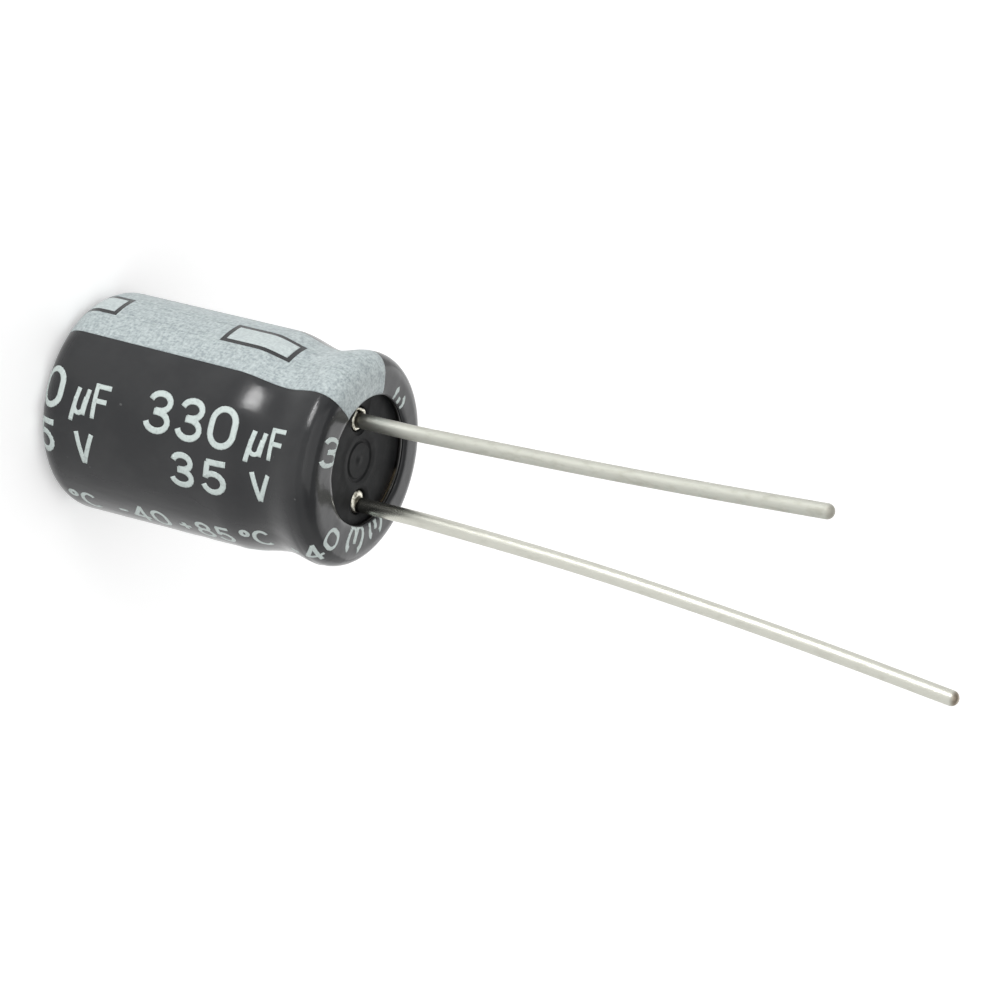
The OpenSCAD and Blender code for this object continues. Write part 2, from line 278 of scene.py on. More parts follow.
def canMetal():
    material, wire = newMaterial("canMetal")
    drawn = wire.noise(0.06, stretch=(1, 1, 0.06), detail=3)
    cloud = wire.noise(1.1, detail=3)
    look = paintedMouthLightLook
    x, y, z = (part / mm for part in wire.place().parts())
    # painted shade: the can's inner edge down in the mouth is coloured near black, standing in for the
    # shade of the recess
    edge = z.clamped(*look["edgeZ"]) * wire.sum("SQRT", x * x + y * y).clamped(*look["edgeR"])
    # painted gold glint: a reflection laid on a stretch of that edge near its top
    turn = wire.sum("ARCTAN2", y, x) + 0.25 * (cloud - 0.5)
    paintedGlint = turn.clamped(*look["glintFrom"]) * turn.clamped(*look["glintTo"])
    paintedGlint = paintedGlint * (z + 0.1 * cloud).clamped(*look["glintTop"])
    metal = cloud.clamped(0.3, 0.7).blend(metalLook["canDull"], metalLook["can"])
    return setShader(
        material,
        {
            "Base Color": edge.blend(metal, paintedGlint.blend(metalLook["canEdgePaintedShade"], metalLook["canPaintedGlint"])),
            "Metallic": 1.0,
            "Roughness": 0.26 + 0.14 * drawn + 0.1 * cloud,
            "Normal": drawn.bump(0.003),
        },
    )


# Heights of the painted shade at the lead's base and of the glossy stretch above it, and distances from the
# cut end
leadPlaces = {"neck": (11.95, 11.82), "gloss": (15.5, 12.8), "cut": (0.26, 0.08)}


def leadMetal(name, node, rough, shine, cut):
    material, wire = newMaterial(name)
    drawn = wire.noise(0.05, stretch=(1, 1, 0.03), detail=3)
    spots = wire.noise(0.22, stretch=(1, 1, 0.4), detail=4, offset=5)
    height = wire.place().parts()[2] / mm
    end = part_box(node)[1].z / mm
    dull = spots.clamped(0.48, 0.72) * (1 - shine)
    plated = dull.blend(metalLook[name], metalLook["leadDull"])
    # painted shade: the lead is coloured dark just above the seal, standing in for the shade and dark
    # reflection at its base
    baseShaded = (height + 0.2 * spots).clamped(*leadPlaces["neck"]).blend(plated, metalLook["leadBasePaintedShade"])
    glossy = height.clamped(*leadPlaces["gloss"])
    cutL, cutEnd = leadPlaces["cut"]
    bare = height.clamped(end - cutL, end - cutEnd) * cut
    return setShader(
        material,
        {
            "Base Color": bare.blend(baseShaded, metalLook["leadCut"]),
            "Metallic": 1.0,
            "Roughness": (rough + 0.08 * drawn + 0.1 * spots) * (1 - 0.4 * glossy),
            "Normal": (drawn + spots).bump(0.003),
        },
    )


def tabMetal():
    material, wire = newMaterial("tabMetal")
    lumps = wire.noise(0.16, detail=4, rough=0.6)
    return setShader(
        material,
        {
            "Base Color": lumps.clamped(0.32, 0.5).blend(metalLook["tabDark"], metalLook["tab"]),
            "Metallic": 1.0,
            "Roughness": 0.22 + 0.22 * lumps,
            "Normal": lumps.bump(0.03),
        },
    )


rubberLook = {"tone": (0.0115, 0.012, 0.0125), "bloom": (0.02, 0.0205, 0.021), "ior": 1.17}


def sealRubber():
    material, wire = newMaterial("sealRubber")
    fine = wire.noise(0.05, detail=2)
    broad = wire.noise(0.5, detail=4)
    return setShader(
        material,
        {
            "Base Color": broad.clamped(0.4, 0.75).blend(rubberLook["tone"], rubberLook["bloom"]),
            "Roughness": 0.42 + 0.16 * fine,
            "IOR": rubberLook["ior"],
            "Normal": (fine * 0.3 + broad).bump(0.01),
        },
    )


windingLook = {
    "anodeFoil": ((0.36, 0.36, 0.34), (0.5, 0.5, 0.47), 0.55),
    "cathodeFoil": ((0.52, 0.52, 0.53), (0.66, 0.66, 0.67), 0.42),
    "kraft": ((0.6, 0.53, 0.37), (0.76, 0.7, 0.54)),
    "tape": ((0.5, 0.33, 0.09), (0.66, 0.47, 0.17)),
}


def etchedFoil(name):
    low, high, rough = windingLook[name]
    material, wire = newMaterial(name)
    pits = wire.noise(0.03, detail=2)
    rolled = wire.noise(0.4, stretch=(0.2, 0.2, 1), detail=3)
    return setShader(
        material,
        {
            "Base Color": (pits * 0.5 + rolled * 0.5).clamped(0.35, 0.65).blend(low, high),
            "Metallic": 1.0,
            "Roughness": rough + 0.15 * pits,
            "Normal": pits.bump(0.004),
        },
    )


def kraftPaper():
    material, wire = newMaterial("kraftPaper")
    fibres = wire.noise(0.07, stretch=(1, 1, 0.25), detail=4, rough=0.6)
    return setShader(
        material,
        {
            "Base Color": fibres.clamped(0.3, 0.7).blend(*windingLook["kraft"]),
            "Roughness": 0.55 + 0.25 * fibres,
            "Normal": fibres.bump(0.008),
        },
    )


def brownTape():
    material, wire = newMaterial("brownTape")
    cloud = wire.noise(0.6, detail=3)
    return setShader(
        material,
        {
            "Base Color": cloud.clamped(0.3, 0.7).blend(*windingLook["tape"]),
            "Roughness": 0.18 + 0.12 * cloud,
            "Coat Weight": 0.3,
            "Normal": cloud.bump(0.006),
        },
    )


film = shrinkFilm()
lettering = letterInk()
stripePrint = stripeInk()
aluminium = canMetal()
leadFinishes = {
    "anode_lead": leadMetal("brightTin", "anode_lead", 0.31, 0.7, 0.9),
    "cathode_lead": leadMetal("mattTin", "cathode_lead", 0.6, 0.4, 0.3),
}
weldedTab = tabMetal()
rubber = sealRubber()
print("materials made")


# Mesh helpers
def newPiece(name, bm, material, replaced=()):
    mesh = bpy.data.meshes.new(name)
    bm.to_mesh(mesh)
    bm.free()
    mesh.polygons.foreach_set("use_smooth", [True] * len(mesh.polygons))
    mesh.materials.append(material)
    piece = bpy.data.objects.new(name, mesh)
    scene.collection.objects.link(piece)
    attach(piece, "root")
    if replaced:
        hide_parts(*replaced)
    print("piece", name, len(mesh.polygons), "faces")
    return piece


def smoothStep(low, high, value):
    t = min(max((value - low) / (high - low), 0), 1)
    return t * t * (3 - 2 * t)


def arcPath(centre, radius, start, end, steps):
    made = []
    for i in range(steps + 1):
        a = radians(start + (end - start) * i / steps)
        made.append((centre[0] + radius * cos(a), centre[1] + radius * sin(a)))
    return made


def spunShell(outline, steps, closed=True):  # outline: radius and height in mm
    bm = bmesh.new()
    corners = [bm.verts.new((r * mm, 0, z * mm)) for r, z in outline]
    edges = [bm.edges.new(pair) for pair in zip(corners, corners[1:])]
    if closed:
        edges.append(bm.edges.new((corners[-1], corners[0])))
    bmesh.ops.spin(
        bm, geom=corners + edges, cent=(0, 0, 0), axis=(0, 0, 1), angle=2 * pi, steps=steps, use_merge=True
    )
    bmesh.ops.remove_doubles(bm, verts=bm.verts, dist=1e-4 * mm)
    bmesh.ops.recalc_face_normals(bm, faces=bm.faces)
    return bm


# Sleeve: the film's outer surface, drawn as an outline from the vent end round to the lead end
sleeveLook = {
    "cornerR": 1.07,
    "shoulderDrop": 4.1,
    "grooveDrop": 2.12,
    "rimDrop": 0.76,
    "grooveDip": 0.36,
    "rimInset": 0.1,
    "curlR": 0.75,
    "lipMouthR": 2.45,
    "mouthShift": 0.17,
    "ventMouthR": 2.75,
    "lipSag": 0.012,
    "lipRound": 0.05,
    "thick": 0.09,
    "printRoom": 0.008,
    "steps": 288,
}
sleeveBox = [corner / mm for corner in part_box("sleeve")]
bodyR = sleeveBox[1].x - sleeveLook["printRoom"]
lipZ = sleeveBox[1].z - sleeveLook["printRoom"]


def neckRadius(z, look):
    shoulderZ = lipZ - look["shoulderDrop"]
    grooveZ = lipZ - look["grooveDrop"]
    rimZ = lipZ - look["rimDrop"]
    if z <= grooveZ:
        return bodyR - look["grooveDip"] * smoothStep(shoulderZ, grooveZ, z)
    return bodyR - look["grooveDip"] + (look["grooveDip"] - look["rimInset"]) * smoothStep(grooveZ, rimZ, z)


def filmOutline(look):
    cornerR = look["cornerR"]
    curlR = look["curlR"]
    rimR = bodyR - look["rimInset"]
    outline = [(look["ventMouthR"] + (bodyR - cornerR - look["ventMouthR"]) * i / 6, 0) for i in range(6)]
    outline += arcPath((bodyR - cornerR, cornerR), cornerR, -90, 0, 18)
    shoulderZ = lipZ - look["shoulderDrop"]
    outline += [(bodyR, cornerR + (shoulderZ - cornerR) * i / 24) for i in range(1, 24)]
    neckL = look["shoulderDrop"] - look["rimDrop"]
    for i in range(45):
        z = shoulderZ + neckL * i / 44
        outline.append((neckRadius(z, look), z))
    outline += arcPath((rimR - curlR, lipZ - curlR), curlR, 0, 90, 18)
    lipL = rimR - curlR - look["lipMouthR"]
    for i in range(1, 15):
        t = i / 14
        drop = look["lipSag"] * t * t * t + look["lipRound"] * (max(t - 0.72, 0) / 0.28) ** 2
        outline.append((rimR - curlR - lipL * t, lipZ - drop))
    return outline


def outlineNormals(outline):  # to the outline's right, which is outward here
    normals = []
    for i in range(len(outline)):
        a = outline[max(i - 1, 0)]
        b = outline[min(i + 1, len(outline) - 1)]
        length = hypot(b[0] - a[0], b[1] - a[1])
        normals.append(((b[1] - a[1]) / length, -(b[0] - a[0]) / length))
    return normals


def filmShell(outline, normals, thick):
    inner = [(r - thick * nr, z - thick * nz) for (r, z), (nr, nz) in zip(outline, normals)]
    ring = list(outline)
    for turn in (45, 135):  # the film's cut edge is a little round
        r, z = outline[-1]
        nr, nz = normals[-1]
        along, down = 0.4 * thick * sin(radians(turn)), 0.5 * thick * (1 - cos(radians(turn)))
        ring.append((r - along * nz, z + along * nr - down * nz))
    ring += inner[::-1]
    return ring


# Depths in mm, then where each takes hold. A pair has the place where it starts and the place where it is
# full, as a radius (R), as a drop below the lip (Drop) or as a turn in degrees (Span).
creaseLook = {
    "mouth": 0.02,
    "lip": 0.01,
    "neck": 0.006,
    "fill": 0.1,
    "fillTurn": -12,
    "fillSpan": (75, 10),
    "mouthR": (3.2, 2.5),
    "mouthDrop": (1, 0.3),
    "lipDrop": (0.5, 0.1),
    "lipR": (3.7, 2.7),
    "neckLowDrop": (4.2, 2.6),
    "neckTopDrop": (0.9, 1.6),
    "shiftR": (3.6, 2.5),
    "shiftDrop": (1.2, 0.6),
}


def hold(name, value):  # from 0 to 1 as the value passes from the pair's first place to its second
    start, full = creaseLook[name]
    return smoothStep(start, full, value)


def moveMouth(point):  # the mouth isn't quite in the middle
    atMouth = hold("shiftR", hypot(point.x, point.y) / mm) * hold("shiftDrop", lipZ - point.z / mm)
    point.y += sleeveLook["mouthShift"] * atMouth * mm


# Small waves that the shrinking leaves in the film; the print on it gets them too
def crease(point):
    turn = atan2(point.y, point.x)
    r = hypot(point.x, point.y) / mm
    z = point.z / mm
    wave = 0.5 * sin(3 * turn + 0.7) + 0.3 * sin(7 * turn + 2.1) + 0.2 * sin(13 * turn + 4.2)
    drop = lipZ - z
    atMouth = hold("mouthR", r) * hold("mouthDrop", drop)
    atLip = hold("lipDrop", drop)
    atNeck = hold("neckLowDrop", drop) * hold("neckTopDrop", drop)
    fold = 0.5 * sin(19 * turn + 1.3) + 0.5 * sin(11 * turn + 0.4)
    away = abs((degrees(turn) - creaseLook["fillTurn"] + 180) % 360 - 180)
    fill = creaseLook["fill"] * hold("fillSpan", away)  # the film bridges the groove more on one side
    dip = (bodyR - neckRadius(z, sleeveLook)) / sleeveLook["grooveDip"] if atNeck else 0
    shift = creaseLook["mouth"] * wave * atMouth - creaseLook["neck"] * (1 + fold) * atNeck + fill * dip
    grown = (r + shift) / max(r, 1e-6)
    sink = creaseLook["lip"] * atLip * (1 + fold) * 0.5 * hold("lipR", r)
    point.x *= grown
    point.y *= grown
    point.z -= sink * mm
    moveMouth(point)


filmEdge = filmOutline(sleeveLook)
filmNormals = outlineNormals(filmEdge)


def makeSleeve(look):
    bm = spunShell(filmShell(filmEdge, filmNormals, look["thick"]), look["steps"])
    for vert in bm.verts:
        crease(vert.co)
    return newPiece("shrink_sleeve", bm, film, ["sleeve"])


makeSleeve(sleeveLook)

# Print: drawn flat in mm, x along the body from the vent end and y up the letters, then laid round the film
filmRun = [0.0]  # distance along the outline, which equals the height on the straight body
for near, far in zip(filmEdge, filmEdge[1:]):
    filmRun.append(filmRun[-1] + hypot(far[0] - near[0], far[1] - near[1]))
bodyStart = next(i for i, (r, z) in enumerate(filmEdge) if r >= bodyR - 1e-6)
runShift = filmEdge[bodyStart][1] - filmRun[bodyStart]
filmRun = [run + runShift for run in filmRun]
printLook = {
    "sink": 0.004,
    "raise": 0.006,
    "pitch": 7.5,
    "footRun": 0.1,
    "mouthGap": 0.02,
    "strokeStep": 0.1,
}
printEnd = filmRun[-1] - printLook["mouthGap"]


def layOnFilm(point):
    run = min(max(point.x / mm, filmRun[0]), filmRun[-1] - 1e-6)
    low, high = 0, len(filmRun) - 1
    while high - low > 1:
        middle = (low + high) // 2
        if filmRun[middle] <= run:
            low = middle
        else:
            high = middle
    t = (run - filmRun[low]) / (filmRun[high] - filmRun[low])
    r, z, nr, nz = (
        near + (far - near) * t
        for near, far in zip((*filmEdge[low], *filmNormals[low]), (*filmEdge[high], *filmNormals[high]))
    )
    turn = -point.y / mm / bodyR
    lift = point.z / mm
    r, z = r + lift * nr, z + lift * nz
    point.x, point.y, point.z = r * cos(turn) * mm, r * sin(turn) * mm, z * mm
    crease(point)


def trimPrint(bm):  # cuts off what runs past the film's ends
    for place, side in ((printEnd, 1), (printLook["footRun"], -1)):
        bmesh.ops.bisect_plane(
            bm,
            geom=bm.verts[:] + bm.edges[:] + bm.faces[:],
            plane_co=(place * mm, 0, 0),
            plane_no=(side, 0, 0),
            clear_outer=True,
        )
    bmesh.ops.holes_fill(bm, edges=bm.edges, sides=0)


# Letters, as strokes in a box of height 1. A stroke is a list of points; bow() gives the points of an arc.
def bow(cx, cy, rx, ry, start, end, steps=14):
    made = []
    for i in range(steps + 1):
        a = radians(start + (end - start) * i / steps)
        made.append((cx + rx * cos(a), cy + ry * sin(a)))
    return made


def letterForms(e):  # e is half a stroke's width; widths and strokes of the letters
    return {
        "0": (
            0.6,
            [bow(0.3, 0.64, 0.3, 0.36, 0, 180) + bow(0.3, 0.36, 0.3, 0.36, 180, 360) + [(0.6, 0.64)]],
        ),
        "3": (
            0.6,
            [
                bow(0.3, 0.765, 0.27, 0.235, 172, -90) + [(0.2, 0.53)],
                [(0.17, 0.5)] + bow(0.3, 0.25, 0.3, 0.25, 90, -170),
            ],
        ),
        "4": (
            0.62,
            [[(0.46, -e), (0.46, 1 + e)], [(0.44, 1.0), (0.02, 0.3)], [(-e, 0.27), (0.6 + e, 0.27)]],
        ),
        "5": (
            0.58,
            [
                [(0.06, 1.0), (0.52 + e, 1.0)],
                [(0.1, 1.0), (0.05, 0.46)],
                bow(0.28, 0.32, 0.3, 0.32, 138, -165),
            ],
        ),
        "8": (0.6, [bow(0.3, 0.77, 0.25, 0.23, -90, 270, 22), bow(0.3, 0.28, 0.3, 0.28, 90, 450, 24)]),
        "-": (0.44, [[(0.02, 0.42), (0.42, 0.42)]]),
        "+": (0.58, [[(0.02, 0.45), (0.54, 0.45)], [(0.28, 0.19), (0.28, 0.71)]]),
        "F": (
            0.5,
            [[(0.0, -e), (0.0, 1 + e)], [(0.0, 1.0), (0.5 + e, 1.0)], [(0.0, 0.52), (0.42 + e, 0.52)]],
        ),
        "V": (0.68, [[(0.0, 1 + e), (0.34, -e)], [(0.68, 1 + e), (0.34, -e)]]),
        "C": (0.62, [bow(0.34, 0.5, 0.34, 0.5, 42, 318, 20)]),
        "o": (0.26, [bow(0.15, 0.84, 0.13, 0.17, 0, 360, 16)]),
        "u": (
            0.6,
            [
                [(0.15, 0.74 + e), (-0.04, -0.3)],
                [(0.08, 0.5)] + bow(0.25, 0.2, 0.2, 0.2, 190, 330, 6) + [(0.5, 0.55)],
                [(0.57, 0.74 + e), (0.45, -e / 2)],
            ],
        ),
    }


def strokeMesh(bm, path, width):  # a flat stroke with square ends, swept from a curve
    curve = bpy.data.curves.new("stroke", "CURVE")
    curve.dimensions = "3D"
    curve.bevel_depth = width / 2
    curve.bevel_resolution = 2
    curve.use_fill_caps = True
    closed = hypot(path[0][0] - path[-1][0], path[0][1] - path[-1][1]) < 1e-6
    dense = [path[0]]
    for a, b in zip(path, path[1:]):
        parts = max(1, round(hypot(b[0] - a[0], b[1] - a[1]) / printLook["strokeStep"]))
        for i in range(1, parts + 1):
            dense.append((a[0] + (b[0] - a[0]) * i / parts, a[1] + (b[1] - a[1]) * i / parts))
    if closed:
        dense.pop()
    spline = curve.splines.new("POLY")
    spline.points.add(len(dense) - 1)
    for made, (x, y) in zip(spline.points, dense):
        made.co = (x, y, 0, 1)
    spline.use_cyclic_u = closed
    holder = bpy.data.objects.new("stroke", curve)
    scene.collection.objects.link(holder)
    mesh = bpy.data.meshes.new_from_object(holder.evaluated_get(bpy.context.evaluated_depsgraph_get()))
    before = len(bm.verts)
    bm.from_mesh(mesh)
    bm.verts.ensure_lookup_table()
    bmesh.ops.scale(bm, vec=(1, 1, 2 * printLook["raise"] / width), verts=bm.verts[before:])
    bpy.data.objects.remove(holder)
    bpy.data.curves.remove(curve)
    bpy.data.meshes.remove(mesh)


def addLine(bm, text, left, baseTurn, capTurn, wide, gap, stroke, repeats):
    height = radians(baseTurn - capTurn) * bodyR - stroke
    forms = letterForms(stroke / 2 / height)
    for repeat in repeats:
        x = left + stroke / 2 + repeat * printLook["pitch"]
        y = -radians(baseTurn) * bodyR + stroke / 2
        for letter in text:
            width, strokes = forms[letter]
            for path in strokes:
                strokeMesh(bm, [(x + px * height * wide, y + py * height) for px, py in path], stroke)
            x += width * height * wide + stroke + gap


# Plain rating numbers, three times round. Each line has its text, its left edge in mm, the turns of its
# baseline and cap line in degrees, the letters' width, gap and stroke, and its repeats along the body.
ratingLines = [
    ("330", 4.8, -104.4, -127.2, 1.11, 0.215, 0.25, (-1, 0, 1)),
    ("uF", 9.14, -104.3, -122.6, 0.92, 0.08, 0.19, (-1, 0)),
    ("35", 6.11, -79.3, -98.8, 1.2, 0.31, 0.24, (-1, 0)),
    ("V", 9.38, -79, -95.8, 1, 0.1, 0.2, (-1, 0)),
    ("-40", 3.0, -40, -56, 1, 0.12, 0.17, (-1, 0, 1)),
    ("+85", 5.7, -40, -56, 1, 0.12, 0.17, (0,)),
    ("oC", 8.5, -40, -56, 1, 0.05, 0.17, (-1, 0)),
    ("330", 4.8, -7.4, -30.2, 1.11, 0.215, 0.25, (-1, 0, 1)),
    ("uF", 9.14, -7.3, -25.6, 0.92, 0.08, 0.19, (-1, 0)),
    ("35", 5.05, 18.6, -0.9, 1.2, 0.31, 0.24, (-1, 0, 1)),
    ("V", 8.4, 18.9, 2.1, 1, 0.1, 0.2, (-1, 0)),
    ("-40", 3.0, 57, 41, 1, 0.12, 0.17, (0,)),
    ("+85", 5.7, 57, 41, 1, 0.12, 0.17, (0,)),
    ("oC", 8.5, 57, 41, 1, 0.05, 0.17, (-1, 0)),
    ("330", 4.8, 100, 77.2, 1.11, 0.215, 0.25, (-1, 0)),
    ("uF", 9.14, 100, 81.7, 0.92, 0.08, 0.19, (-1, 0)),
    ("35", 5.15, 141, 121.5, 1.2, 0.31, 0.24, (-1, 0, 1)),
    ("V", 8.5, 141.3, 124.5, 1, 0.1, 0.2, (-1, 0)),
]


def makeLettering():
    bm = bmesh.new()
    for line in ratingLines:
        addLine(bm, *line)
    bmesh.ops.scale(bm, vec=(mm, mm, mm), verts=bm.verts)
    trimPrint(bm)
    for vert in bm.verts:
        layOnFilm(vert.co)
    bmesh.ops.recalc_face_normals(bm, faces=bm.faces)
    newPiece("rating_print", bm, lettering)


makeLettering()

stripeLook = {
    "turn": 186.5,
    "angle": 54,
    "markL": 3.0,
    "markW": 1.34,
    "markLine": 0.2,
    "markTop": 9.33,
    "markPitch": 7.56,
    "taper": 0.15,
    "taperY": (-0.9, -1.7),
    "taperRun": 12,
    "cellL": 0.07,
    "cellW": 0.1,
}


def makeStripe(look):
    width = radians(look["angle"]) * bodyR
    length = printEnd - printLook["footRun"]
    bm = bmesh.new()
    bmesh.ops.create_grid(
        bm, x_segments=round(length / look["cellL"]), y_segments=round(width / look["cellW"]), size=0.5
    )
    bmesh.ops.scale(bm, vec=(length, width, 1), verts=bm.verts)
    bmesh.ops.translate(bm, vec=(printLook["footRun"] + length / 2, 0, 0), verts=bm.verts)
    frames = []
    for repeat in (-1, 0):
        top = look["markTop"] + repeat * look["markPitch"]
        frames.append((top - look["markL"], top, look["markW"] / 2, look["markLine"]))
    for low, high, half, line in frames:
        cuts = [((x, 0, 0), (1, 0, 0)) for x in (low, low + line, high - line, high)]
        cuts += [((0, y, 0), (0, 1, 0)) for y in (-half, line - half, half - line, half)]
        for place, direction in cuts:
            bmesh.ops.bisect_plane(
                bm, geom=bm.verts[:] + bm.edges[:] + bm.faces[:], plane_co=place, plane_no=direction
            )
    gone = []
    for face in bm.faces:
        x, y, _ = face.calc_center_median()
        for low, high, half, line in frames:
            outside = low < x < high and abs(y) < half
            inside = low + line < x < high - line and abs(y) < half - line
            if outside and not inside:
                gone.append(face)
    bmesh.ops.delete(bm, geom=gone, context="FACES")
    inBox = bm.verts.layers.float.new("inBox")
    for vert in bm.verts:
        for low, high, half, line in frames:
            if low + line / 2 < vert.co.x < high - line / 2 and abs(vert.co.y) < half - line / 2:
                vert[inBox] = 1
    bmesh.ops.solidify(bm, geom=bm.faces[:], thickness=printLook["sink"] + printLook["raise"])
    lowest = min(vert.co.z for vert in bm.verts)
    for vert in bm.verts:
        vert.co.z -= lowest + printLook["sink"]
        atEdge = smoothStep(*look["taperY"], vert.co.y)
        vert.co.y += look["taper"] * atEdge * (1 - min(vert.co.x / look["taperRun"], 1))
        vert.co.y -= radians(look["turn"]) * bodyR
        vert.co *= mm
        layOnFilm(vert.co)
    bmesh.ops.recalc_face_normals(bm, faces=bm.faces)
    newPiece("polarity_band", bm, stripePrint, ["polarity_stripe"])


makeStripe(stripeLook)

# Can: drawn aluminium, with its score lines pressed into the closed end
canLook = {
    "gap": 0.01,
    "wall": 0.25,
    "cornerR": 0.95,
    "grooveDepth": 0.55,
    "curlMouthR": 2.49,
    "scoreL": 4.6,
    "scoreDepth": 0.12,
    "scoreW": 0.3,
    "steps": 256,
}
canBox = [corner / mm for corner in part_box("can")]


def makeCan(look):
    canR = canBox[1].x
    low = canBox[0].z
    top = canBox[1].z
    shape = dict(sleeveLook, grooveDip=look["grooveDepth"])
    inset = bodyR - canR
    cornerR = look["cornerR"]
    outline = [(i * (canR - cornerR) / 64, low) for i in range(64)]
    outline += arcPath((canR - cornerR, low + cornerR), cornerR, -90, 0, 14)
    shoulderZ = lipZ - shape["shoulderDrop"]
    neckL = shape["shoulderDrop"] - shape["rimDrop"]
    for i in range(33):
        z = shoulderZ + neckL * i / 32
        outline.append((neckRadius(z, shape) - inset, z))
    curlR = shape["curlR"] - inset
    rimR = canR - shape["rimInset"]
    outline += arcPath((rimR - curlR, top - curlR), curlR, 0, 90, 12)
    lipL = rimR - curlR - look["curlMouthR"]
    for i in range(1, 9):
        outline.append((rimR - curlR - lipL * i / 8, top - 0.012 * i / 8 - 0.004 * max(i - 4, 0) ** 2))
    normals = outlineNormals(outline)
    wall = look["wall"]
    inner = [(max(r - wall * nr, 0), z - wall * nz) for (r, z), (nr, nz) in zip(outline, normals)]
    edgeR, edgeZ = outline[-1]
    bead = [(edgeR - 0.03, edgeZ - 0.06), (edgeR - 0.03, edgeZ - wall + 0.06)]
    bm = spunShell(outline + bead + inner[::-1], look["steps"], closed=False)
    for vert in bm.verts:
        moveMouth(vert.co)
        x, y, z = vert.co / mm
        if z > low + 0.05 or hypot(x, y) > look["scoreL"] / 2 + 0.2:
            continue
        depth = 0
        for turn in (45, 135):
            along = x * cos(radians(turn)) + y * sin(radians(turn))
            across = -x * sin(radians(turn)) + y * cos(radians(turn))
            edge = smoothStep(look["scoreL"] / 2, look["scoreL"] / 2 - 0.25, abs(along))
            depth = max(depth, edge * smoothStep(look["scoreW"] / 2, 0, abs(across)))
        vert.co.z += depth * look["scoreDepth"] * mm
    newPiece("drawn_can", bm, aluminium, ["can"])


makeCan(canLook)

# Rubber seal, with the ring, the sprue mark, a low raised ridge and funnelled holes for its two leads
sealLook = {
    "top": 11.64,
    "low": 8.94,
    "ringR": 0.74,
    "ringW": 0.16,
    "ringDepth": 0.05,
    "ridgeR": 1.0,
    "holeR": 0.61,
    "neckR": 0.46,
    "neckZ": 11.32,
    "funnel": 0.16,
    "steps": 128,
}
leadLook = {
    "pitch": 3.25,
    "d": 0.565,
    "stub": 1.6,
    "endL": 3.0,
    "bendR": 25,
    "tipR": 0.27,
    "start": 11.31,
    "sides": 32,
}


def makeSeal(look):
    shape = dict(sleeveLook, grooveDip=canLook["grooveDepth"])
    off = bodyR - canBox[1].x + canLook["wall"] + canLook["gap"]
    top, low, ringR, half = look["top"], look["low"], look["ringR"], look["ringW"] / 2
    outline = [(0, low)]
    steps = 26
    rimZ = lipZ - shape["rimDrop"]
    for i in range(steps + 1):
        z = low + (rimZ - low) * i / steps
        outline.append((neckRadius(z, shape) - off, z))
    rimR = outline[-1][0]
    outline += [(rimR - 0.03, top - 0.25), (rimR - 0.14, top - 0.08)]
    outline += [(rimR - 0.38, top - 0.01), (rimR - 0.6, top)]
    ridgeR = look["ridgeR"]
    outline += [(1.7, top), (1.35, top), (ridgeR + 0.2, top)]
    outline += [(ridgeR + 0.1, top + 0.014), (ridgeR, top + 0.02), (ridgeR - 0.08, top + 0.01)]
    for i in range(9):
        swing = -cos(pi * i / 8)
        outline.append((ringR - half * swing, top - look["ringDepth"] * (1 - swing * swing)))
    outline += [(0.5, top - 0.005), (0.3, top - 0.012), (0.16, top - 0.012)]
    outline += [(0.1, top + 0.01), (0, top + 0.02)]
    bm = spunShell(outline, look["steps"], closed=False)
    piece = newPiece("rubber_seal", bm, rubber, ["end_seal"])
    cutter = bmesh.new()
    for side in (-1, 1):
        holeR, neckR, funnel = look["holeR"], look["neckR"], look["funnel"]
        hole = [(0, low - 0.3), (holeR, low - 0.3), (holeR, look["neckZ"]), (neckR, look["neckZ"])]
        hole += [(neckR, top - funnel), (neckR + 0.04, top - funnel / 3)]
        hole += [(neckR + funnel, top + 0.001), (neckR + funnel, top + 0.3), (0, top + 0.3)]
        part = spunShell(hole, 64, closed=False)
        bmesh.ops.translate(part, vec=(side * leadLook["pitch"] / 2 * mm, 0, 0), verts=part.verts)
        kept = bpy.data.meshes.new("hole")
        part.to_mesh(kept)
        part.free()
        cutter.from_mesh(kept)
        bpy.data.meshes.remove(kept)
    mesh = bpy.data.meshes.new("holes")
    cutter.to_mesh(mesh)
    cutter.free()
    holes = bpy.data.objects.new("holes", mesh)
    scene.collection.objects.link(holes)
    cut = piece.modifiers.new("holes", "BOOLEAN")
    cut.operation = "DIFFERENCE"
    cut.solver = "EXACT"
    cut.object = holes
    made = bpy.data.meshes.new_from_object(piece.evaluated_get(bpy.context.evaluated_depsgraph_get()))
    piece.modifiers.clear()
    piece.data = made
    bpy.data.objects.remove(holes)
    made.set_sharp_from_angle(angle=radians(40))


makeSeal(sealLook)

# Tabs: the CAD solids below the post's end, with a rough weld crown on top in place of the plain collar.
# The cathode's crown has a nick at one turn.
crownLook = {
    "anode_tab": {"outerR": 0.43, "innerR": 0.12, "top": 11.63, "foot": 11.2, "rough": 0.018, "gap": 0},
    "cathode_tab": {"outerR": 0.45, "innerR": 0.31, "top": 11.66, "foot": 11.2, "rough": 0.03, "gap": 0.08},
    "postTop": 11.3,
    "nickTurn": 172,
    "nickSpan": (24, 6),
    "steps": 96,
}


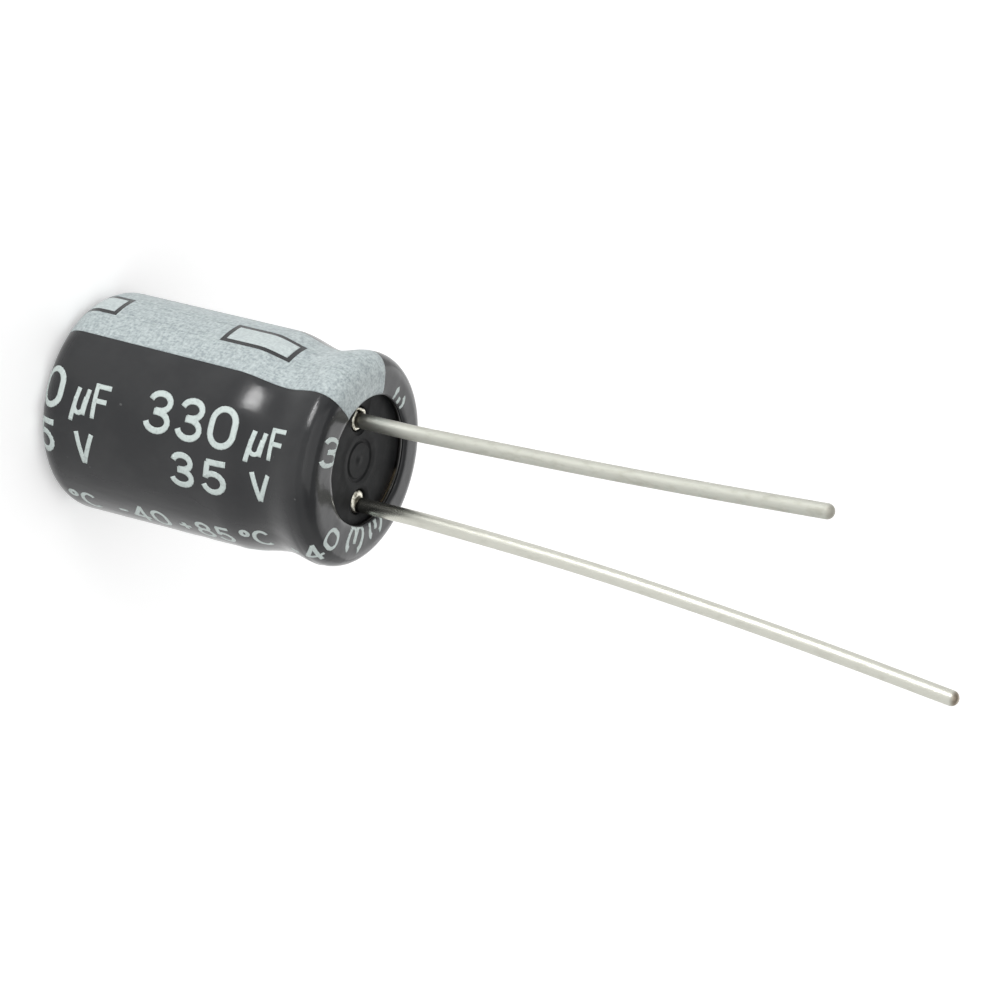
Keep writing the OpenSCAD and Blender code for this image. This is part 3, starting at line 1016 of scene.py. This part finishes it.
def weldCrown(side, look):
    base, top = look["foot"], look["top"]
    innerR, outerR = look["innerR"], look["outerR"]
    middle, half = (innerR + outerR) / 2, (outerR - innerR) / 2
    ring = [(innerR, base), (outerR, base)]
    ring += arcPath((middle, top - half), half, 0, 180, 12)
    bm = spunShell(ring, crownLook["steps"])
    for vert in bm.verts:
        turn = atan2(vert.co.y, vert.co.x)
        up = smoothStep(base, top, vert.co.z / mm)
        lump = 0.6 * sin(2 * turn + side) + 0.4 * sin(5 * turn + 2 * side) + 0.2 * sin(9 * turn + 1)
        swell = 1 + look["rough"] * lump * up / 0.4
        away = abs(degrees(turn) + crownLook["nickTurn"])
        nick = look["gap"] * smoothStep(*crownLook["nickSpan"], away)
        vert.co.x *= swell
        vert.co.y *= swell
        vert.co.z += up * (look["rough"] * 0.8 * (sin(turn + 2.2 * side) - 0.6 + 0.5 * lump) - nick) * mm
        vert.co.x += side * leadLook["pitch"] / 2 * mm
    return bm


def makeTab(node, side):
    bm = bmesh.new()
    bm.from_mesh(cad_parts[node].data)
    bmesh.ops.remove_doubles(bm, verts=bm.verts, dist=1e-4 * mm)
    bmesh.ops.bisect_plane(
        bm,
        geom=bm.verts[:] + bm.edges[:] + bm.faces[:],
        plane_co=(0, 0, crownLook["postTop"] * mm),
        plane_no=(0, 0, 1),
        clear_outer=True,
    )
    bmesh.ops.holes_fill(bm, edges=bm.edges, sides=0)
    crown = weldCrown(side, crownLook[node])
    kept = bpy.data.meshes.new("crown")
    crown.to_mesh(kept)
    crown.free()
    bm.from_mesh(kept)
    bpy.data.meshes.remove(kept)
    piece = newPiece(node + "_metal", bm, weldedTab, [node])
    piece.data.set_sharp_from_angle(angle=radians(55))


makeTab("anode_tab", 1)
makeTab("cathode_tab", -1)


# Leads: a straight stub, a short bend, one long sweep and a straight end
seatZ = sleeveBox[1].z  # the face that sits on a board
leadRoutes = {
    "anode_lead": {
        "side": 1,
        "length": 24.0,
        "lean": 2.0,
        "sweepR": 225,
        "nudge": 0.105,
        "nudgeTop": 23,
    },
    "cathode_lead": {
        "side": -1,
        "length": 18.9,
        "lean": 1.4,
        "sweepR": 340,
        "nudge": 0.045,
        "nudgeTop": 19,
    },
}


def leadLine(route, s):  # place and heading at distance s from the lip plane
    look = leadLook
    sweepL = route["length"] - look["stub"] - look["endL"]
    bendL = look["bendR"] * radians(route["lean"])
    run = min(max(s - look["stub"], 0), sweepL)
    a = min(run, bendL) / look["bendR"]
    b = a + max(run - bendL, 0) / route["sweepR"]
    x = look["bendR"] * (1 - cos(a)) + route["sweepR"] * (cos(a) - cos(b))
    z = look["bendR"] * sin(a) + route["sweepR"] * (sin(b) - sin(a))
    rest = s - look["stub"] - run
    x += rest * sin(b)
    z += look["stub"] + rest * cos(b)
    nudge = route["nudge"] * smoothStep(route["nudgeTop"], 12, seatZ + z)
    return route["side"] * (look["pitch"] / 2 + x) + nudge, seatZ + z, route["side"] * b


def makeLead(node, route):
    look = leadLook
    start = look["start"] - seatZ
    stations = [start + (route["length"] - look["tipR"] - start) * i / 150 for i in range(151)]
    radii = [look["d"] / 2] * len(stations)
    for i in range(1, 9):  # the cut end is round
        a = radians(90 * i / 8)
        stations.append(route["length"] - look["tipR"] + look["tipR"] * sin(a))
        radii.append(look["d"] / 2 - look["tipR"] + look["tipR"] * cos(a))
    bm = bmesh.new()
    ring = bmesh.ops.create_circle(bm, segments=look["sides"], radius=radii[0] * mm, cap_ends=True)["verts"]
    x, z, heading = leadLine(route, stations[0])
    bmesh.ops.rotate(bm, verts=ring, cent=(0, 0, 0), matrix=Matrix.Rotation(heading, 3, "Y"))
    bmesh.ops.translate(bm, verts=ring, vec=(x * mm, 0, z * mm))
    face = bm.faces[:][0]
    for station, radius, last in zip(stations[1:], radii[1:], radii):
        grown = bmesh.ops.extrude_face_region(bm, geom=[face])
        ring = [v for v in grown["geom"] if isinstance(v, bmesh.types.BMVert)]
        newFace = next(f for f in grown["geom"] if isinstance(f, bmesh.types.BMFace))
        if face.is_valid:
            bmesh.ops.delete(bm, geom=[face], context="FACES_ONLY")
        face = newFace
        nextX, nextZ, nextHeading = leadLine(route, station)
        centre = Vector((x, 0, z)) * mm
        bmesh.ops.rotate(bm, verts=ring, cent=centre, matrix=Matrix.Rotation(nextHeading - heading, 3, "Y"))
        bmesh.ops.translate(bm, verts=ring, vec=Vector((nextX - x, 0, nextZ - z)) * mm)
        centre = Vector((nextX, 0, nextZ)) * mm
        for vert in ring:
            vert.co = centre + (vert.co - centre) * (radius / last)
        x, z, heading = nextX, nextZ, nextHeading
    bmesh.ops.holes_fill(bm, edges=bm.edges, sides=0)
    bmesh.ops.recalc_face_normals(bm, faces=bm.faces)
    newPiece(node + "_wire", bm, leadFinishes[node], [node])


for node, route in leadRoutes.items():
    makeLead(node, route)

# Winding: the CAD solids, with their finishes
finishes = {
    "anode_foil": etchedFoil("anodeFoil"),
    "cathode_foil": etchedFoil("cathodeFoil"),
    "inner_paper": kraftPaper(),
    "fixing_tape": brownTape(),
}
finishes["outer_paper"] = finishes["inner_paper"]
for node, material in finishes.items():
    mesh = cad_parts[node].data
    mesh.materials.clear()
    mesh.materials.append(material)
print("winding dressed")

# Floor, lamps and world
stageLook = {"floor": (0.9, 0.9, 0.9), "lift": 0.3, "sky": 0.35, "horizon": 0.85}
lampLook = [
    # name, turn and height of its direction, distance, width, height, radiance
    ("keyLamp", -150, 7, 0.4, 0.14, 0.085, 10),
    ("lowLamp", -153, 0, 0.07, 0.028, 0.004, 30),
    ("topLamp", -116, 62, 0.45, 0.5, 0.5, 0.8),
    ("backPanel", 64, 28, 0.45, 0.4, 0.4, 0.85),
]


def addFloor(look):
    bm = bmesh.new()
    bmesh.ops.create_grid(bm, x_segments=1, y_segments=1, size=2)
    mesh = bpy.data.meshes.new("floor")
    bm.to_mesh(mesh)
    bm.free()
    floor = bpy.data.objects.new("floor", mesh)
    scene.collection.objects.link(floor)
    material, wire = newMaterial("paleFloor")
    rays = ("Is Camera Ray", "Is Glossy Ray", "Is Transmission Ray")
    seen = sum((wire.node("ShaderNodeLightPath", output=name) for name in rays), 0)
    setShader(
        material,
        {
            "Base Color": look["floor"],
            "Roughness": 0.9,
            "Specular IOR Level": 0.0,
            "Emission Color": seen.clamped(0, 1).blend((0, 0, 0), (look["lift"],) * 3),
            "Emission Strength": 1.0,
        },
    )
    mesh.materials.append(material)


def addWorld(look):
    world = bpy.data.worlds.new("studio")
    scene.world = world
    world.use_nodes = True
    wire = Wire(world.node_tree)
    up = wire.node("ShaderNodeTexCoord", output=0).parts()[2]
    tone = up.clamped(0.5, 0.85).blend((look["horizon"],) * 3, (look["sky"],) * 3)
    world.node_tree.links.new(tone.socket, world.node_tree.nodes["Background"].inputs["Color"])


def addLamp(name, turn, rise, distance, width, height, radiance):
    data = bpy.data.lights.new(name, "AREA")
    data.shape = "RECTANGLE"
    data.size = width
    data.size_y = height
    data.energy = radiance * pi * width * height
    lamp = bpy.data.objects.new(name, data)
    scene.collection.objects.link(lamp)
    a, b = radians(turn), radians(rise)
    towards = Vector((cos(a) * cos(b), sin(a) * cos(b), sin(b)))
    lamp.location = Vector((0, 0, 8 * mm)) + towards * distance
    lamp.rotation_mode = "QUATERNION"
    lamp.rotation_quaternion = towards.to_track_quat("Z", "Y")
    lamp.visible_camera = False


addFloor(stageLook)
addWorld(stageLook)
for lamp in lampLook:
    addLamp(*lamp)
scene.view_settings.view_transform = "Standard"
print("stage set")
